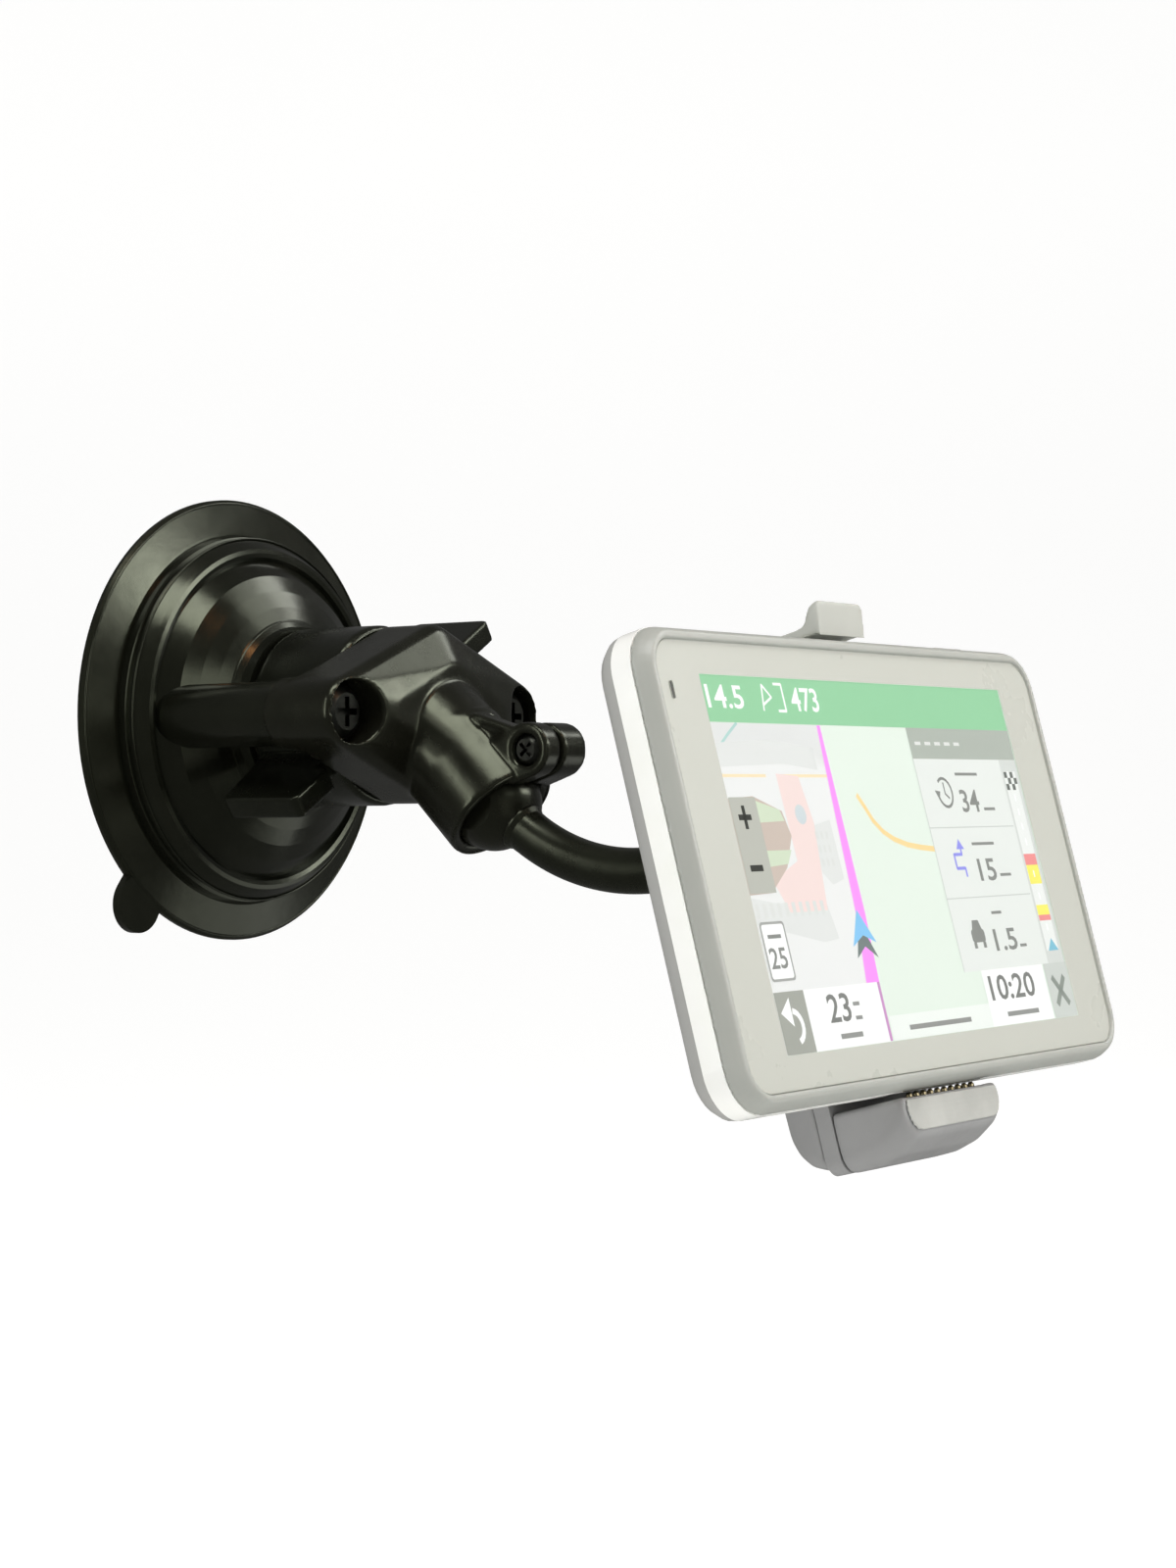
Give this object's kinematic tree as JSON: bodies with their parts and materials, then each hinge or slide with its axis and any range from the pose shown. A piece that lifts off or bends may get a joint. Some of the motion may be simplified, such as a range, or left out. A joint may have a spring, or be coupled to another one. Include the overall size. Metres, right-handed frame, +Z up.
{
  "type": "portable gps navigator",
  "caption": "Flat touch-screen car navigator in a snap cradle, held by a curved ball-ended arm in a clamped socket bracket on a twist-lock windscreen suction base.",
  "frame": {"origin": "centre of the suction face, in the plane of the glass it sticks to", "axes": "+Y points into the glass, +Z is up, +X is to the right for somebody looking at the glass from the driver side"},
  "size_m": [0.1254, 0.1557, 0.1185],
  "materials": {
    "cup_rubber": "soft black rubber, satin",
    "stem_nylon": "dark moulded nylon",
    "steel": "zinc-plated steel",
    "base_plastic": "semi-gloss black moulding",
    "washer_nylon": "natural nylon",
    "lever_plastic": "semi-gloss black moulding",
    "bracket_plastic": "semi-gloss black moulding with fine texture",
    "ball_plastic": "black acetal",
    "arm_plastic": "satin black moulding",
    "socket_plastic": "dark grey moulding",
    "cradle_grey": "mid grey satin moulding",
    "cradle_light": "light grey satin moulding",
    "cradle_dark": "grey satin moulding",
    "badge_grey": "light grey blank plate",
    "black_plastic": "black moulding",
    "contact_gold": "gold plated",
    "board_green": "green solder mask",
    "rear_plastic": "grey satin moulding",
    "silver_band": "silver painted",
    "bezel_plastic": "pale grey satin paint",
    "adhesive_black": "foam tape",
    "screen_glass": "clear touch panel with a printed grey border",
    "lcd_surface": "lit picture",
    "white_plastic": "white diffuser",
    "chassis_metal": "die-cast, bare",
    "can_tin": "tinned steel",
    "cell_foil": "foil pouch",
    "ceramic": "fired ceramic"
  },
  "bodies": {
    "base": {"suction_cup": "cup_rubber", "cup_housing": "base_plastic", "lever_washer": "washer_nylon", "socket_bracket": "bracket_plastic", "base_screws": "steel", "clamp_nut": "steel"},
    "lever": {"twist_lever": "lever_plastic"},
    "stem": {"cup_stem": "stem_nylon", "cam_pin": "steel"},
    "clamp_bolt": {"clamp_screw": "steel"},
    "lower_ball": {"base_ball": "ball_plastic"},
    "arm_link": {"arm": "arm_plastic"},
    "upper_ball": {"device_ball": "ball_plastic"},
    "snap_socket": {"ball_socket": "socket_plastic"},
    "cradle": {"cradle_back": "cradle_dark", "cradle_plate": "cradle_dark", "cradle_foot": "cradle_dark", "foot_badge": "badge_grey", "contact_block": "black_plastic", "cradle_pcb": "board_green", "power_socket": "steel", "cradle_screws": "steel"},
    "clip": {"cradle_clip": "cradle_light"},
    "pins": {"contact_pins": "contact_gold"},
    "navigator": {"rear_case": "rear_plastic", "side_frame": "silver_band", "front_bezel": "bezel_plastic", "lens_adhesive": "adhesive_black", "cover_glass": "screen_glass", "lcd_panel": "lcd_surface", "backlight": "white_plastic", "lcd_frame": "steel", "chassis": "chassis_metal", "main_pcb": "board_green", "shield_cans": "can_tin", "battery": "cell_foil", "speaker": "black_plastic", "gps_antenna": "ceramic", "microphone": "steel", "card_socket": "steel", "power_switch": "black_plastic", "dock_contacts": "contact_gold", "case_screws": "steel"},
    "button": {"power_button": "cradle_grey"}
  },
  "joints": [
    {"name": "lever_turn", "type": "hinge", "parent": "base", "child": "lever", "pos_m": [0, 0, 0], "axis": [0, -1, 0], "range_deg": [0, 90]},
    {"name": "stem_lift", "type": "slide", "parent": "base", "child": "stem", "axis": [0, -1, 0], "range_m": [0, 0.0026]},
    {"name": "clamp_screw_turn", "type": "hinge", "parent": "base", "child": "clamp_bolt", "pos_m": [0, -0.07282, -0.00692], "axis": [1, 0, 0], "continuous": true},
    {"name": "base_swivel", "type": "hinge", "parent": "base", "child": "lower_ball", "pos_m": [0, -0.0625, -0.0164], "axis": [0, -0.7071, -0.7071], "range_deg": [-40, 40]},
    {"name": "arm_tilt", "type": "hinge", "parent": "lower_ball", "child": "arm_link", "pos_m": [0, -0.0625, -0.0164], "axis": [1, 0, 0], "range_deg": [-22, 35]},
    {"name": "device_yaw", "type": "hinge", "parent": "arm_link", "child": "upper_ball", "pos_m": [0, -0.11481, -0.02389], "axis": [0, 0.2548, 0.967], "range_deg": [-18, 18]},
    {"name": "device_tilt", "type": "hinge", "parent": "upper_ball", "child": "snap_socket", "pos_m": [0, -0.11481, -0.02389], "axis": [1, 0, 0], "range_deg": [-15, 20]},
    {"name": "device_roll", "type": "hinge", "parent": "snap_socket", "child": "cradle", "pos_m": [0, -0.11481, -0.02389], "axis": [0, -0.967, 0.2548], "range_deg": [-90, 90]},
    {"name": "clip_flex", "type": "hinge", "parent": "cradle", "child": "clip", "pos_m": [0, -0.12112, -0.0062], "axis": [-1, 0, 0], "range_deg": [0, 7], "stiffness_Nm_per_rad": 0.6},
    {"name": "contact_press", "type": "slide", "parent": "cradle", "child": "pins", "axis": [0, -0.2548, -0.967], "range_m": [0, 0.0008], "stiffness_N_per_m": 300},
    {"name": "device_release", "type": "hinge", "parent": "cradle", "child": "navigator", "pos_m": [0, -0.15401, -0.06217], "axis": [1, 0, 0], "range_deg": [0, 20]},
    {"name": "power_press", "type": "slide", "parent": "navigator", "child": "button", "axis": [0, -0.2548, -0.967], "range_m": [0, 0.0004], "stiffness_N_per_m": 800}
  ],
  "couplings": [
    {"joint": "stem_lift", "follows": "lever_turn", "m_per_rad": 0.0015915}
  ]
}
